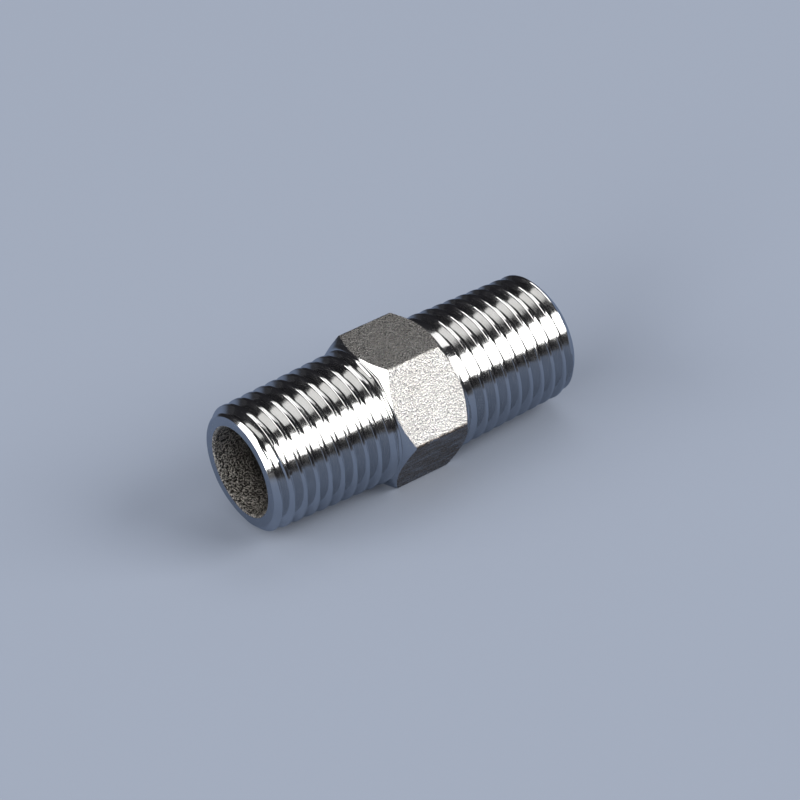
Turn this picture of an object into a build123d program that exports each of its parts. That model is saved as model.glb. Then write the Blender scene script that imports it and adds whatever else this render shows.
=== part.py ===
from build123d import *
import os
from math import atan, cos, degrees, radians, tan

# Hex nipple: one stainless steel casting, a wrench hexagon between two male taper pipe threads.
# Millimetres. Origin on the bore axis at mid-length, +X along the bore, +Z up.
# The hexagon has one flat at the bottom and one at the top.

# Casting
OVERALL_LENGTH = 36.0
BORE_DIAMETER = 9.1
RIM_BEVEL = 0.2  # at both mouths of the bore

# Hexagon
ACROSS_FLATS = 14.0
CORNER_EDGE_LENGTH = 5.9  # length of each of the six long edges
CORNER_ROUND = 0.35  # radius of those edges, as cast
CONE_SLOPE = 0.84  # turned cone at each side: mm along the bore for each mm of radius

# Taper pipe thread, 18 threads to the inch
PITCH = 25.4 / 18
TAPER = 1 / 32  # growth of the radius for each mm along the bore, towards the hexagon
PITCH_RADIUS_AT_END = 6.063
FLANK_TAN = tan(radians(30))
CREST_FLAT = 0.2 * PITCH
ROOT_FLAT = 0.06 * PITCH
END_FACE_RADIUS = 5.7  # the end chamfer runs from here out to the crests at 45 degrees
FULL_DEPTH_GAP = 0.6 * PITCH  # from the shoulder to the middle of the groove where it starts to rise
RUN_OUT_TURNS = 0.6  # the groove rises out of the metal over this much of a turn
RUN_OUT_LAP = 0.01  # of a turn, by which the two stretches of groove lap each other
THREAD_START_ANGLE = 45  # degrees about the bore, before the end is turned into place
# Each thread is cut by itself, so the two start at different places round the bore.
RIGHT_THREAD_TURN = 50
LEFT_THREAD_TURN = 147

# How far the cutters reach past what they cut
CUTTER_OVERRUN = 1.0
GROOVE_OVERRUN = 0.04
RUN_OUT_OVERRUN = 0.1

END_X = OVERALL_LENGTH / 2
BORE_RADIUS = BORE_DIAMETER / 2
HALF_PITCH = PITCH / 2
CREST_HEIGHT = (HALF_PITCH - CREST_FLAT) / 2 / FLANK_TAN  # crest above the pitch cone
ROOT_DEPTH = (HALF_PITCH - ROOT_FLAT) / 2 / FLANK_TAN  # root below the pitch cone
THREAD_HEIGHT = CREST_HEIGHT + ROOT_DEPTH
CORNER_RADIUS = ACROSS_FLATS / 2 / cos(radians(30))
CORNER_X = CORNER_EDGE_LENGTH / 2

# The cone of the crests, carried on to mid-length, has this radius there.
CREST_RADIUS_AT_MIDDLE = PITCH_RADIUS_AT_END + CREST_HEIGHT + END_X * TAPER
# The turned cone beside the hexagon runs down to the crests here.
SHOULDER_X = (CORNER_X + CONE_SLOPE * (CORNER_RADIUS - CREST_RADIUS_AT_MIDDLE)) / (1 - CONE_SLOPE * TAPER)
# The end chamfer meets the crests here.
CHAMFER_X = (END_X + END_FACE_RADIUS - CREST_RADIUS_AT_MIDDLE) / (1 - TAPER)


def crest_radius(x):
    """Radius of the thread crests at a distance x from mid-length."""
    return CREST_RADIUS_AT_MIDDLE - x * TAPER


def cone_x(radius):
    """Where the turned cone beside the hexagon has this radius."""
    return CORNER_X + CONE_SLOPE * (CORNER_RADIUS - radius)


def turned(points):
    """Solid of revolution about the bore from points (x, radius)."""
    outline = Polyline([(x, 0, radius) for x, radius in points], close=True)
    return revolve(make_face(outline), Axis.X)


def make_bore(half_length):
    """Cutter for the bore, longer than the stretch that it goes through."""
    return Rot(0, 90, 0) * Cylinder(BORE_RADIUS, 2 * (half_length + CUTTER_OVERRUN))


def make_hex_body():
    """Hexagon with a turned cone at each side, down to the shoulders."""
    outline = RegularPolygon(ACROSS_FLATS / 2, 6, major_radius=False)
    outline = fillet(outline.vertices(), CORNER_ROUND)
    prism = extrude(Plane.YZ * outline, SHOULDER_X, both=True)
    outer_radius = CORNER_RADIUS + CUTTER_OVERRUN
    shoulder_radius = crest_radius(SHOULDER_X)
    cones = turned([
        (-SHOULDER_X, 0),
        (-SHOULDER_X, shoulder_radius),
        (-cone_x(outer_radius), outer_radius),
        (cone_x(outer_radius), outer_radius),
        (SHOULDER_X, shoulder_radius),
        (SHOULDER_X, 0),
    ])
    return (prism & cones) - make_bore(SHOULDER_X)


def make_blank():
    """Tapered sleeve from the shoulder to the end face, before its thread is cut."""
    return turned([
        (SHOULDER_X, BORE_RADIUS),
        (SHOULDER_X, crest_radius(SHOULDER_X)),
        (CHAMFER_X, crest_radius(CHAMFER_X)),
        (END_X, END_FACE_RADIUS),
        (END_X, BORE_RADIUS + RIM_BEVEL),
        (END_X - RIM_BEVEL, BORE_RADIUS),
    ])


def groove_cutter(start_x, start_angle, turns, growth):
    """Thread groove along a conical helix that runs towards the hexagon.

    growth is how fast the radius grows for each mm along the bore.
    """
    cone = degrees(atan(growth))
    root = PITCH_RADIUS_AT_END - ROOT_DEPTH + (END_X - start_x) * TAPER
    path = Helix(PITCH / cos(radians(cone)), turns * PITCH, root, cone_angle=cone)
    depth = THREAD_HEIGHT + GROOVE_OVERRUN
    mouth = ROOT_FLAT / 2 + depth * FLANK_TAN
    profile = Polyline(
        (root, 0, -ROOT_FLAT / 2),
        (root + depth, 0, -mouth),
        (root + depth, 0, mouth),
        (root, 0, ROOT_FLAT / 2),
        close=True,
    )
    cutter = sweep(make_face(profile), path=path, is_frenet=True)
    towards_hexagon = Plane((start_x, 0, 0), x_dir=(0, 0, 1), z_dir=(-1, 0, 0))
    return towards_hexagon * Rot(0, 0, start_angle) * cutter


def make_threaded_end():
    """Threaded end on the +X side, not yet turned into place."""
    start_x = END_X + PITCH
    turns = (start_x - SHOULDER_X - FULL_DEPTH_GAP) / PITCH
    lap_turns = turns - RUN_OUT_LAP
    run_out_x = start_x - lap_turns * PITCH
    run_out_angle = THREAD_START_ANGLE + 360 * lap_turns
    rise = (THREAD_HEIGHT + RUN_OUT_OVERRUN) / (RUN_OUT_TURNS * PITCH)
    groove = groove_cutter(start_x, THREAD_START_ANGLE, turns, TAPER)
    run_out = groove_cutter(run_out_x, run_out_angle, RUN_OUT_TURNS, rise)
    return make_blank() - groove - run_out


def main():
    os.makedirs("parts", exist_ok=True)
    threaded_end = make_threaded_end()
    parts = {
        "hex_body": make_hex_body(),
        "threaded_end_right": Rot(RIGHT_THREAD_TURN, 0, 0) * threaded_end,
        "threaded_end_left": Rot(LEFT_THREAD_TURN, 0, 0) * Rot(0, 0, 180) * threaded_end,
    }
    for name, part in parts.items():
        export_step(part, "parts/" + name + ".step")


main()
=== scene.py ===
import bmesh
import bpy
import math
import numpy as np
from mathutils import Matrix, Quaternion, Vector, noise


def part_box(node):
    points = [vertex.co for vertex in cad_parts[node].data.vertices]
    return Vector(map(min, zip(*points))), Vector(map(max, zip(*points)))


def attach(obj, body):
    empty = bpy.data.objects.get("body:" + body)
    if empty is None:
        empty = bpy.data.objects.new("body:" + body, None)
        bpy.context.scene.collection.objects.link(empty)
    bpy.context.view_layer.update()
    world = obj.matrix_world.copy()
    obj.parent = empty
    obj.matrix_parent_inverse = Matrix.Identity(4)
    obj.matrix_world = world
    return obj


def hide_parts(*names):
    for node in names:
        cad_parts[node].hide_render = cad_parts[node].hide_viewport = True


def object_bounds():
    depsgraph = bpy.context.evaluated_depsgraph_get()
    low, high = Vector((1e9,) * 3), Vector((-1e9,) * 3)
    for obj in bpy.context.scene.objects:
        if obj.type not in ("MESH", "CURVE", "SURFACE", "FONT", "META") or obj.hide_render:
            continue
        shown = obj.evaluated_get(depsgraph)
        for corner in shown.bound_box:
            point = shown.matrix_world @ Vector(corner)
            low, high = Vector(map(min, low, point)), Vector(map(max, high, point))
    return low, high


# Looks of the hex nipple: one casting with a blasted hexagon between two turned and threaded ends.
# Metres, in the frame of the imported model: +X along the bore, +Z up, hexagon flats at top and bottom.

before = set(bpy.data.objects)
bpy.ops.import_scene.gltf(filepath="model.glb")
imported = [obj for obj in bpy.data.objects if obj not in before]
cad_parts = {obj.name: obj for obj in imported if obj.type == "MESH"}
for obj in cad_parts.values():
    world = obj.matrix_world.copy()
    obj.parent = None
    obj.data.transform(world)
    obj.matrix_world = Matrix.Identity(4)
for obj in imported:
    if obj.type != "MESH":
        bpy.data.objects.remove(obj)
cad_low, cad_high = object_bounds()
mm = 0.001

# The outer sizes come from the frame.
END_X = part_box("threaded_end_right")[1].x
SHOULDER_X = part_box("hex_body")[1].x
FLAT_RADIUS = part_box("hex_body")[1].z  # half the width across flats

# Hexagon
CORNER_ROUND = 0.35 * mm
CORNER_X = 2.95 * mm  # half the length of a long edge
CONE_SLOPE = 0.84  # turned cone: length along the bore for the same amount of radius
SHARP_CORNER_RADIUS = FLAT_RADIUS / math.cos(math.radians(30))

# Bore
BORE_RADIUS = 4.55 * mm
RIM_BEVEL = 0.2 * mm
WALL_FADE = 0.4 * mm  # the wall is smooth at the bevel and fully rough this far in

# Taper pipe thread, 18 threads to the inch
PITCH = 25.4 / 18 * mm
TAPER = 1 / 32
PITCH_RADIUS_AT_END = 6.063 * mm
FLANK_TAN = math.tan(math.radians(30))
CREST_FLAT = 0.2 * PITCH
ROOT_FLAT = 0.06 * PITCH
CREST_HEIGHT = (PITCH / 2 - CREST_FLAT) / 2 / FLANK_TAN
ROOT_DEPTH = (PITCH / 2 - ROOT_FLAT) / 2 / FLANK_TAN
CREST_RADIUS_AT_MIDDLE = PITCH_RADIUS_AT_END + CREST_HEIGHT + END_X * TAPER
END_FACE_RADIUS = 5.7 * mm
FULL_DEPTH_GAP = 0.6 * PITCH  # from the shoulder to the middle of the groove where it starts to rise
RUN_OUT_LENGTH = 0.6 * PITCH  # the groove rises out of the metal over this length along the bore
RUN_OUT_OVERRUN = 0.1 * mm
RUN_OUT_X = SHOULDER_X + FULL_DEPTH_GAP
RUN_OUT_RISE = (ROOT_DEPTH + CREST_HEIGHT + RUN_OUT_OVERRUN) / RUN_OUT_LENGTH
THREAD_START_ANGLE = math.radians(45)  # before the end is turned into place
RIGHT_THREAD_TURN = math.radians(50)
LEFT_THREAD_TURN = math.radians(147)
EDGE_SOFTNESS = 0.035 * mm  # rounding of the thread's crest edges and roots

# Mesh of a threaded end
THREAD_COLUMNS = 320  # round the bore
THREAD_TURNS = np.arange(-12, 2)  # turns of the groove with rows of mesh, past the thread at both ends
ROOT_SHARE = 0.6  # place of the row on a root flat, as a share of half its width
FLANK_SHARES = (0.22, 0.42, 0.62, 0.8)  # rows on a flank, as shares of its width
FLANK_FOOT_STEP = 0.04 * mm  # from a root's edge to the first row on the flank
CREST_EDGE_STEPS = (-0.04, -0.012, 0.012, 0.04)  # rows beside the edge of a crest, in mm
ROW_SNAP = 0.004 * mm  # rows this close to an end of the thread join it
WALL_RINGS = 46
WALL_CROWDING = 1.6  # power that crowds the rings of the wall towards the mouth
END_FACE_MARGIN = 0.01 * mm  # points this close to the end face count as part of it

# Mesh of the hexagon
FLAT_COLUMNS = 92  # across each flat
CORNER_COLUMNS = 5  # round each corner
FLAT_ROWS = 92
CONE_ROWS = 4
HEXAGON_WALL_RINGS = 30

SHARP_ANGLE = math.radians(45)  # an edge between faces that differ more than this stays sharp

# Materials in the order of the pieces' material slots
CAST, TURNED, THREAD, BORE = range(4)


def crest_radius(x):
    """Radius of the thread crests at a distance x from mid-length."""
    return CREST_RADIUS_AT_MIDDLE - x * TAPER


def cone_x(radius):
    """Where the turned cone beside the hexagon has this radius."""
    return CORNER_X + CONE_SLOPE * (SHARP_CORNER_RADIUS - radius)


# ---------------------------------------------------------------- mesh helpers

def lumps(points, size, seed):
    """Smooth noise from -1 to 1 at an array of points, with lumps of about this size."""
    offset = Vector((seed, 2.3 * seed, 5.1 * seed))
    flat = points.reshape(-1, 3)
    values = [noise.noise(Vector(point) / size + offset) for point in flat]
    return np.array(values).reshape(points.shape[:-1])


def round_points(x, radius, angle):
    """Points at a distance x along the bore, a radius, and an angle from +Z towards -Y."""
    x, radius, angle = np.broadcast_arrays(x, radius, angle)
    return np.stack([x, -radius * np.sin(angle), radius * np.cos(angle)], axis=-1)


def bore_points(x, angle):
    """Points on the rough cast bore wall, which grows smooth towards the rim bevel."""
    plain = round_points(x, BORE_RADIUS, angle)
    rough = 0.022 * lumps(plain, 0.45 * mm, 1) + 0.012 * lumps(plain, 0.22 * mm, 2)
    from_rim = END_X - RIM_BEVEL - np.abs(plain[..., 0])
    fade = np.clip(from_rim / WALL_FADE, 0, 1)
    return round_points(x, BORE_RADIUS + rough * fade * mm, angle)


def make_piece(name, points, index, bands):
    """Closed mesh from points and a grid of indices, with a material for each row of faces in bands."""
    faces = []
    face_materials = []
    for lower, upper, material in zip(index[:-1], index[1:], bands):
        for corners in zip(lower[:-1], upper[:-1], upper[1:], lower[1:]):
            # A point that two rows share counts once in a face.
            corners = list(dict.fromkeys(corners))
            if len(corners) > 2:
                faces.append(corners)
                face_materials.append(material)
    mesh = bpy.data.meshes.new(name)
    mesh.from_pydata(points.tolist(), [], faces)
    mesh.polygons.foreach_set("material_index", face_materials)
    finish_surface(mesh)
    piece = bpy.data.objects.new(name, mesh)
    bpy.context.scene.collection.objects.link(piece)
    return piece


def finish_surface(mesh):
    """Turns every face outwards and keeps an edge sharp where the finish or the slope changes."""
    work = bmesh.new()
    work.from_mesh(mesh)
    bmesh.ops.recalc_face_normals(work, faces=work.faces)
    for face in work.faces:
        face.smooth = True
    for edge in work.edges:
        one, other = edge.link_faces
        same_finish = one.material_index == other.material_index
        edge.smooth = same_finish and edge.calc_face_angle() < SHARP_ANGLE
    work.to_mesh(mesh)
    work.free()


# ---------------------------------------------------------------- threaded ends

def profile_offsets():
    """Rows of the mesh across one pitch, as distances along the bore from the middle of the groove."""
    root = ROOT_FLAT / 2
    crest = (PITCH - CREST_FLAT) / 2
    flank = crest - root
    half = [ROOT_SHARE * root, root + FLANK_FOOT_STEP]
    half += [root + share * flank for share in FLANK_SHARES]
    half += [crest + step * mm for step in CREST_EDGE_STEPS]
    return np.array([-x for x in reversed(half)] + [0] + half + [PITCH / 2])


def soft_lower(a, b):
    """The lower of two heights, with the corner where they cross rounded off."""
    overlap = np.maximum(EDGE_SOFTNESS - np.abs(a - b), 0)
    return np.minimum(a, b) - overlap ** 2 / (4 * EDGE_SOFTNESS)


def thread_radius(x, groove_x):
    """Radius of the thread at x, where groove_x is the middle of the nearest groove."""
    root = PITCH_RADIUS_AT_END - ROOT_DEPTH + (END_X - x) * TAPER
    root = root + np.maximum(RUN_OUT_X - groove_x, 0) * RUN_OUT_RISE
    flank = root + (np.abs(x - groove_x) - ROOT_FLAT / 2) / FLANK_TAN
    groove = -soft_lower(-root, -flank)
    crest = soft_lower(crest_radius(x), groove)
    chamfer = END_FACE_RADIUS + END_X - x
    return np.minimum(crest, chamfer)


def threaded_end_grid():
    """Points of the +X threaded end, the grid of their indices, and a material for each row of faces."""
    offsets = profile_offsets()
    per_turn = len(offsets)
    angles = np.arange(THREAD_COLUMNS) * 2 * math.pi / THREAD_COLUMNS
    first_groove = END_X + PITCH * (angles + THREAD_START_ANGLE) / (2 * math.pi)
    groove_x = first_groove + (THREAD_TURNS * PITCH).repeat(per_turn)[:, None]
    x = groove_x + np.tile(offsets, len(THREAD_TURNS))[:, None]
    radius = thread_radius(x, groove_x)
    low = x < SHOULDER_X + ROW_SNAP
    high = x > END_X - ROW_SNAP

    # Rows past either end of the thread meet in one ring of points there.
    ring_low = np.arange(THREAD_COLUMNS)
    ring_high = ring_low + THREAD_COLUMNS
    inside = ~low & ~high
    index = np.where(low, ring_low, ring_high)
    index[inside] = np.arange(inside.sum()) + 2 * THREAD_COLUMNS
    # After one turn round the bore a row has moved on by one pitch.
    seam = np.append(index[per_turn:, 0], ring_high[:1].repeat(per_turn))
    index = np.hstack([index, seam[:, None]])

    nearest_groove = first_groove + np.round((END_X - first_groove) / PITCH) * PITCH
    end_radius = thread_radius(END_X, nearest_groove)
    points = [
        round_points(SHOULDER_X, crest_radius(SHOULDER_X), angles),
        round_points(END_X, end_radius, angles),
        round_points(x, radius, angles)[inside],
    ]

    # The end face, the rim bevel, the wall of the bore and the shoulder close the mesh.
    wall_start = END_X - RIM_BEVEL
    shares = np.linspace(0, 1, WALL_RINGS) ** WALL_CROWDING
    wall_x = wall_start - (wall_start - SHOULDER_X) * shares
    rings = [round_points(END_X, BORE_RADIUS + RIM_BEVEL, angles), *bore_points(wall_x[:, None], angles)]
    count = sum(len(group) for group in points)
    ring_index = count + np.arange(len(rings) * THREAD_COLUMNS).reshape(len(rings), -1)
    ring_index = np.vstack([ring_high, ring_index, ring_low])
    ring_index = np.hstack([ring_index, ring_index[:, :1]])
    bands = [THREAD] * (len(index) - 1) + [TURNED] * 2 + [BORE] * (WALL_RINGS + 1)
    return np.vstack(points + rings), np.vstack([index, ring_index]), bands


def handled(points):
    """Points with the small dents and waves that cutting and handling leave on the thread."""
    radius = np.hypot(points[:, 1], points[:, 2])
    outside = radius > BORE_RADIUS + 2 * RIM_BEVEL
    behind_end_face = np.abs(points[:, 0]) < END_X - END_FACE_MARGIN
    wave = 0.004 * mm * lumps(points, 1.1 * mm, 3)
    nick = 0.05 * mm * np.maximum(lumps(points, 0.5 * mm, 4) - 0.45, 0)
    change = np.where(outside & behind_end_face, -np.abs(wave) - nick, 0)
    scale = (radius + change) / radius
    return points * np.stack([np.ones_like(scale), scale, scale], axis=-1)


def make_threaded_end(name, turn):
    """Threaded end, turned from the +X side to its place."""
    points, index, bands = threaded_end_grid()
    points = points @ np.array(turn.to_3x3().transposed())
    return make_piece(name, handled(points), index, bands)


# ---------------------------------------------------------------- hexagon

def hexagon_outline():
    """Points (y, z) round the hexagon and their outward normals, with rounded corners."""
    half_flat = FLAT_RADIUS * math.tan(math.radians(30)) - CORNER_ROUND * math.tan(math.radians(30))
    along = np.linspace(-half_flat, half_flat, FLAT_COLUMNS, endpoint=False)
    bend = np.linspace(0, math.radians(60), CORNER_COLUMNS, endpoint=False)
    outline = []
    normals = []
    for side in range(6):
        facing = math.radians(90 + 60 * side)
        out = np.array([math.cos(facing), math.sin(facing)])
        across = np.array([-out[1], out[0]])
        centre = out * (FLAT_RADIUS - CORNER_ROUND) + across * half_flat
        around = np.stack([np.cos(facing + bend), np.sin(facing + bend)], axis=-1)
        outline += list(out * FLAT_RADIUS + along[:, None] * across)
        normals += [out] * FLAT_COLUMNS
        outline += list(centre + CORNER_ROUND * around)
        normals += list(around)
    return np.array(outline), np.array(normals)


def cast_skin(points):
    """How far the blasted skin lies under the plain surface."""
    depth = 0.011 * (1 - lumps(points, 0.3 * mm, 5))
    depth += 0.007 * (1 - lumps(points, 0.16 * mm, 6))
    depth += 0.05 * np.maximum(lumps(points, 0.5 * mm, 7) - 0.5, 0)
    return depth * mm


def make_hex_body():
    """Hexagon with its turned cones, shoulders and bore."""
    outline, normals = hexagon_outline()
    shares = np.linspace(-1, 1, FLAT_ROWS)
    half_length = cone_x(np.hypot(outline[:, 0], outline[:, 1]))
    x = shares[:, None] * half_length
    side = np.concatenate([x[..., None], np.broadcast_to(outline, x.shape + (2,))], axis=-1)
    inward = cast_skin(side)[..., None] * normals
    side[..., 1:] -= inward
    edge_radius = np.hypot(side[..., 1], side[..., 2])
    side[0, :, 0] = -cone_x(edge_radius[0])
    side[-1, :, 0] = cone_x(edge_radius[-1])

    angle_low = np.arctan2(-side[0, :, 1], side[0, :, 2])
    angle_high = np.arctan2(-side[-1, :, 1], side[-1, :, 2])
    shoulder = crest_radius(SHOULDER_X)
    down = np.linspace(0, 1, CONE_ROWS + 1)[1:, None]
    radius_low = edge_radius[0] + down * (shoulder - edge_radius[0])
    radius_high = edge_radius[-1] + down * (shoulder - edge_radius[-1])
    cone_low = round_points(-cone_x(radius_low), radius_low, angle_low)
    cone_high = round_points(cone_x(radius_high), radius_high, angle_high)
    wall_x = np.linspace(SHOULDER_X, -SHOULDER_X, HEXAGON_WALL_RINGS)
    wall = bore_points(wall_x[:, None], angle_high)
    rows = np.concatenate([side, cone_high, wall, cone_low[::-1]])
    index = np.arange(rows.shape[0] * rows.shape[1]).reshape(rows.shape[:2])
    index = np.vstack([index, index[:1]])
    index = np.hstack([index, index[:, :1]])
    cone = [TURNED] * (CONE_ROWS + 1)
    bands = [CAST] * (FLAT_ROWS - 1) + cone + [BORE] * (HEXAGON_WALL_RINGS - 1) + cone
    return make_piece("hexagon", rows.reshape(-1, 3), index, bands)


# ---------------------------------------------------------------- materials

STAIN_BROWN = (0.26, 0.175, 0.10, 1)
PIT_DARK = (0.06, 0.055, 0.05, 1)
SPECK_GREY = (0.3, 0.29, 0.28, 1)
GRAIN_DARK = (0.035, 0.03, 0.027, 1)  # between the grains of the bore wall
BORE_DEPTH_SHADE = (0.02, 0.018, 0.016, 1)  # painted shade deeper inside the bore


class Nodes:
    """Short calls for the nodes of one material or world."""

    def __init__(self, owner, shader):
        owner.use_nodes = True
        self.owner = owner
        self.tree = owner.node_tree
        self.shader = self.tree.nodes[shader]

    def add(self, kind, inputs=None, **settings):
        """New node with its settings, and its inputs linked or set."""
        node = self.tree.nodes.new(kind)
        for name, value in settings.items():
            setattr(node, name, value)
        for name, value in (inputs or {}).items():
            self.feed(node.inputs[name], value)
        return node

    def feed(self, socket, value):
        """Links an output to a socket, or sets the socket to a number or colour."""
        if isinstance(value, bpy.types.NodeSocket):
            self.tree.links.new(value, socket)
        else:
            socket.default_value = value

    def math(self, operation, *values):
        """Result of a math node."""
        node = self.add("ShaderNodeMath", operation=operation)
        for socket, value in zip(node.inputs, values):
            self.feed(socket, value)
        return node.outputs[0]

    def noise(self, place, size, detail=2.0, roughness=0.5):
        """Noise with lumps of about this size."""
        inputs = {"Vector": place, "Scale": 1 / size, "Detail": detail, "Roughness": roughness}
        return self.add("ShaderNodeTexNoise", inputs).outputs["Fac"]

    def span(self, value, low, high, to_low, to_high):
        """A value from low to high, mapped onto another range and held at its ends."""
        inputs = {"Value": value, "From Min": low, "From Max": high, "To Min": to_low, "To Max": to_high}
        return self.add("ShaderNodeMapRange", inputs).outputs["Result"]

    def blend(self, share, one, other):
        """Colour from one to other."""
        node = self.add("ShaderNodeMix", data_type="RGBA")
        self.feed(node.inputs["Factor"], share)
        self.feed(node.inputs["A"], one)
        self.feed(node.inputs["B"], other)
        return node.outputs["Result"]

    def in_metal(self, plain, reflected):
        """Colour that is plain to the eye and in diffuse light, and another one in reflections."""
        rays = self.add("ShaderNodeLightPath")
        return self.blend(rays.outputs["Is Glossy Ray"], plain, reflected)


class Finish(Nodes):
    """Nodes of one material, with textures placed by the piece's own coordinates."""

    def __init__(self, name):
        super().__init__(bpy.data.materials.new(name), "Principled BSDF")
        self.place = self.add("ShaderNodeTexCoord").outputs["Object"]

    def bump(self, height, depth, normal=None):
        """Normal of a surface with this relief; height runs from 0 to 1 over a real depth."""
        node = self.add("ShaderNodeBump", {"Height": height, "Distance": depth})
        if normal:
            self.feed(node.inputs["Normal"], normal)
        return node.outputs["Normal"]

    def coordinates(self):
        """Outputs X, Y and Z of the place."""
        return self.add("ShaderNodeSeparateXYZ", {"Vector": self.place}).outputs

    def radius(self, y, z):
        """Distance from the bore axis."""
        square = self.math("ADD", self.math("POWER", y, 2), self.math("POWER", z, 2))
        return self.math("SQRT", square)

    def stain(self):
        """Share of brown stain, in streaks along the lower flat on the -Y side."""
        outwards = (0, -math.cos(math.radians(30)), -math.sin(math.radians(30)))
        inputs = {0: self.place, 1: outwards}
        depth = self.add("ShaderNodeVectorMath", inputs, operation="DOT_PRODUCT").outputs["Value"]
        stretched = self.add("ShaderNodeMapping", {"Vector": self.place, "Scale": (0.2, 1, 1)}).outputs[0]
        streaks = self.span(self.noise(stretched, 0.35 * mm, 3.0), 0.3, 0.6, 0.45, 1.0)
        on_flat = self.span(depth, FLAT_RADIUS * 0.96, FLAT_RADIUS * 0.99, 0.0, 1.0)
        return self.math("MULTIPLY", on_flat, streaks)

    def done(self, colour, roughness, normal, metallic=1.0):
        """Connects the metal shader and returns the material."""
        self.feed(self.shader.inputs["Metallic"], metallic)
        self.feed(self.shader.inputs["Base Color"], colour)
        self.feed(self.shader.inputs["Roughness"], roughness)
        self.feed(self.shader.inputs["Normal"], normal)
        return self.owner


def cast_material():
    """Blasted investment-cast skin: satin grain with dark pits and bright points."""
    skin = Finish("blasted_cast_stainless")
    grain = skin.noise(skin.place, 0.2 * mm, 3.0, 0.6)
    fine = skin.noise(skin.place, 0.09 * mm, 2.0)
    cloud = skin.noise(skin.place, 2.2 * mm, 3.0)
    pits = skin.span(fine, 0.34, 0.42, 1.0, 0.0)
    steel = skin.blend(cloud, (0.68, 0.65, 0.61, 1), (0.80, 0.78, 0.75, 1))
    steel = skin.blend(skin.stain(), steel, STAIN_BROWN)
    colour = skin.blend(skin.math("MULTIPLY", pits, 0.7), steel, PIT_DARK)
    # Open grain scatters the light, and the blasted points between shine.
    roughness = skin.span(grain, 0.4, 0.54, 0.36, 0.14)
    normal = skin.bump(grain, 0.1 * mm, skin.bump(fine, 0.04 * mm))
    return skin.done(colour, roughness, normal)


def turned_material(name, smoothness, line_depth):
    """Bright turned steel: fine tool lines round the bore, faint smears and a few specks."""
    metal = Finish(name)
    x, y, z = metal.coordinates()
    # Noise over these two coordinates comes out as rings round the bore.
    across = metal.add("ShaderNodeCombineXYZ", {"X": x, "Y": metal.radius(y, z)}).outputs[0]
    lines = metal.noise(across, 0.05 * mm, 1.0)
    feed = metal.noise(across, 0.22 * mm, 2.0)
    smear = metal.noise(metal.place, 1.6 * mm, 3.0)
    speck = metal.span(metal.noise(metal.place, 0.11 * mm, 1.0), 0.72, 0.78, 0.0, 1.0)
    colour = metal.blend(smear, (0.60, 0.595, 0.585, 1), (0.70, 0.70, 0.695, 1))
    colour = metal.blend(metal.math("MULTIPLY", speck, 0.5), colour, SPECK_GREY)
    gloss = metal.span(smear, 0.3, 0.7, smoothness, smoothness + 0.05)
    torn = metal.span(lines, 0.56, 0.7, 0.0, 0.12)
    roughness = metal.math("ADD", metal.math("ADD", gloss, torn), metal.math("MULTIPLY", speck, 0.15))
    normal = metal.bump(feed, line_depth * 2, metal.bump(lines, line_depth))
    return metal.done(colour, roughness, normal)


def bore_material():
    """Rough as-cast bore wall, with painted shade that darkens it away from the mouths."""
    wall = Finish("as_cast_bore")
    grain = wall.noise(wall.place, 0.17 * mm, 3.0, 0.6)
    cloud = wall.noise(wall.place, 1.5 * mm, 2.0)
    steel = wall.blend(cloud, (0.72, 0.66, 0.58, 1), (0.90, 0.86, 0.79, 1))
    colour = wall.blend(wall.span(grain, 0.44, 0.6, 1.0, 0.0), steel, GRAIN_DARK)
    # Painted shade: the wall's colour darkens with depth from the mouth, where less light reaches.
    depth = wall.math("SUBTRACT", END_X, wall.math("ABSOLUTE", wall.coordinates()["X"]))
    scale = wall.span(depth, 0.8 * mm, 4 * mm, 0.0, 0.94)
    colour = wall.blend(scale, colour, BORE_DEPTH_SHADE)
    roughness = wall.span(cloud, 0.3, 0.7, 0.4, 0.5)
    normal = wall.bump(grain, 0.3 * mm)
    return wall.done(colour, roughness, normal, 0.9)


def make_materials():
    """Materials in the order CAST, TURNED, THREAD, BORE."""
    return [
        cast_material(),
        turned_material("turned_stainless_face", 0.11, 0.0009 * mm),
        turned_material("turned_stainless_thread", 0.075, 0.0003 * mm),
        bore_material(),
    ]


# ---------------------------------------------------------------- floor, light and camera

FLOOR_COLOUR = (0.29, 0.32, 0.38, 1)
FLOOR_SHADE_IN_REFLECTIONS = (0.13, 0.165, 0.24, 1)  # painted shade: a darker floor colour that only the metal's reflections show
FLOOR_FADE = (0.06, 0.13)  # the distances between which that painted reflection fades away
AMBIENT = (0.42, 0.45, 0.51, 1)
STUDIO_DARK = (0.02, 0.02, 0.024, 1)
FLOOR_ROUGHNESS = 0.9
FLOOR_SHINE = 0.1
FLOOR_HALF_SIZE = 2.4
LIGHT_DISTANCE = 3.0

# Softboxes: azimuth and elevation, then width and height, in degrees as the object sees them.
# The last number is the brightness.
# Azimuth 0 is in front of the object, on the -Y side, and 90 is on the +X side.
SOFTBOXES = {
    "left": (-104, 29, 50, 26, 4.0),
    "left_low": (-66, 18, 22, 22, 9.0),
    "front_right": (45, 33, 36, 33, 6.5),
    "back_right": (122, 59, 40, 20, 1.6),
}


def direction(azimuth, elevation):
    """Unit vector towards a place round the object, in degrees."""
    a = math.radians(azimuth)
    e = math.radians(elevation)
    return Vector((math.sin(a) * math.cos(e), -math.cos(a) * math.cos(e), math.sin(e)))


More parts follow.
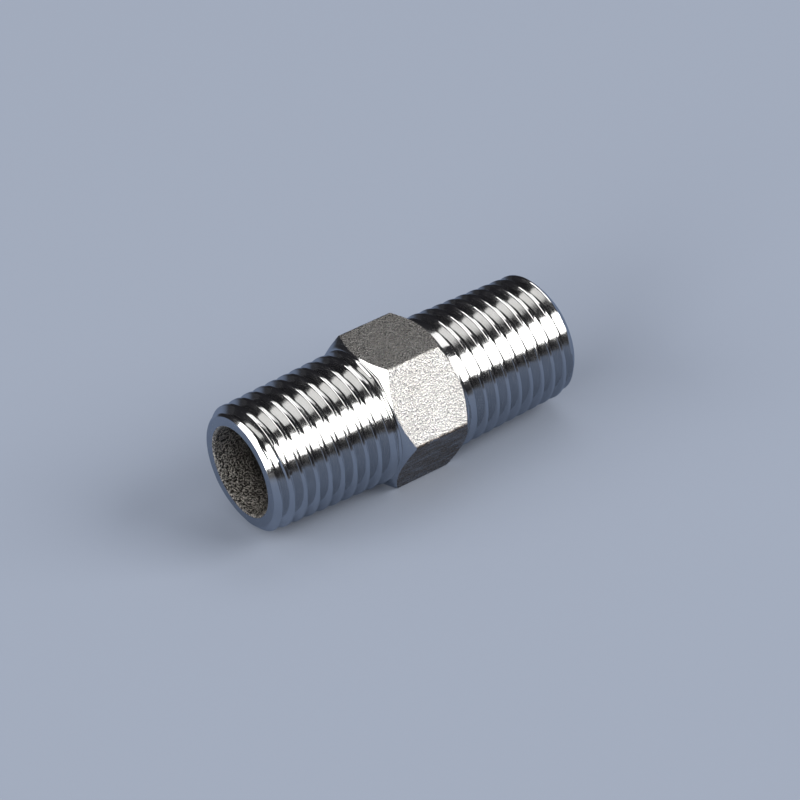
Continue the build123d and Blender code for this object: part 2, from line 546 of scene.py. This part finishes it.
def add_softbox(name, azimuth, elevation, width, height, brightness):
    """Rectangular area light that faces the object and stays out of the picture."""
    light = bpy.data.lights.new("softbox_" + name, "AREA")
    light.shape = "RECTANGLE"
    light.size = 2 * LIGHT_DISTANCE * math.tan(math.radians(width / 2))
    light.size_y = 2 * LIGHT_DISTANCE * math.tan(math.radians(height / 2))
    light.energy = brightness * math.pi * light.size * light.size_y
    lamp = bpy.data.objects.new("softbox_" + name, light)
    towards = direction(azimuth, elevation)
    lamp.location = towards * LIGHT_DISTANCE
    lamp.rotation_mode = "QUATERNION"
    lamp.rotation_quaternion = (-towards).to_track_quat("-Z", "Y")
    lamp.visible_camera = False
    bpy.context.scene.collection.objects.link(lamp)


def make_world():
    """Pale all-round light for the floor, and a dark studio for the metal to reflect."""
    look = Nodes(bpy.data.worlds.new("studio"), "Background")
    look.feed(look.shader.inputs["Color"], look.in_metal(AMBIENT, STUDIO_DARK))
    bpy.context.scene.world = look.owner


def make_floor():
    """Plain pale floor under the hexagon's bottom flat, with painted shade in the metal's reflections of
    it.
    """
    mesh = bpy.data.meshes.new("floor")
    size = FLOOR_HALF_SIZE
    corners = [(-size, -size, 0), (size, -size, 0), (size, size, 0), (-size, size, 0)]
    mesh.from_pydata(corners, [], [(0, 1, 2, 3)])
    floor = bpy.data.objects.new("floor", mesh)
    floor.location = (0, 0, cad_low.z)
    bpy.context.scene.collection.objects.link(floor)
    look = Finish("floor")
    distance = look.add("ShaderNodeVectorMath", {0: look.place}, operation="LENGTH").outputs["Value"]
    # Painted shade in reflections: near the object the metal sees a darker floor, fading to the dark
    # studio further off.
    reflected = look.blend(look.span(distance, *FLOOR_FADE, 0.0, 1.0), FLOOR_SHADE_IN_REFLECTIONS, STUDIO_DARK)
    look.feed(look.shader.inputs["Base Color"], look.in_metal(FLOOR_COLOUR, reflected))
    look.feed(look.shader.inputs["Roughness"], FLOOR_ROUGHNESS)
    look.feed(look.shader.inputs["Specular IOR Level"], FLOOR_SHINE)
    mesh.materials.append(look.owner)


# The camera stands at the photograph's angle and distance, and looks at a point beside the origin.
CAMERA_AZIMUTH = -33.5
CAMERA_ELEVATION = 34.6
CAMERA_ROLL = -4.45
CAMERA_DISTANCE = 314.15 * mm
CAMERA_AIM = Vector((0.55, -0.37, 0)) * mm
CAMERA_LENS = 145.2  # focal length in millimetres
CAMERA_NEAR = 0.01
CAMERA_FAR = 20


def make_camera():
    """Camera at the photograph's viewing angle."""
    camera = bpy.data.objects.new("camera", bpy.data.cameras.new("camera"))
    camera.data.lens = CAMERA_LENS
    camera.data.clip_start = CAMERA_NEAR
    camera.data.clip_end = CAMERA_FAR
    back = direction(CAMERA_AZIMUTH, CAMERA_ELEVATION)
    camera.location = CAMERA_AIM + back * CAMERA_DISTANCE
    roll = Quaternion((0, 0, 1), math.radians(CAMERA_ROLL))
    camera.rotation_mode = "QUATERNION"
    camera.rotation_quaternion = (-back).to_track_quat("-Z", "Y") @ roll
    bpy.context.scene.collection.objects.link(camera)
    bpy.context.scene.camera = camera


# ---------------------------------------------------------------- assembly

def stand_for(piece, node, materials):
    """Gives a piece its materials, hangs it under the root body and hides the CAD node it stands for."""
    for material in materials:
        piece.data.materials.append(material)
    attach(piece, "root")
    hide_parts(node)


def main():
    materials = make_materials()
    to_right = Matrix.Rotation(RIGHT_THREAD_TURN, 4, "X")
    to_left = Matrix.Rotation(LEFT_THREAD_TURN, 4, "X") @ Matrix.Rotation(math.pi, 4, "Z")
    hexagon = make_hex_body()
    right = make_threaded_end("thread_right", to_right)
    left = make_threaded_end("thread_left", to_left)
    stand_for(hexagon, "hex_body", materials)
    stand_for(right, "threaded_end_right", materials)
    stand_for(left, "threaded_end_left", materials)
    make_floor()
    make_world()
    for name, values in SOFTBOXES.items():
        add_softbox(name, *values)
    make_camera()
    bpy.context.scene.view_settings.view_transform = "Standard"


main()
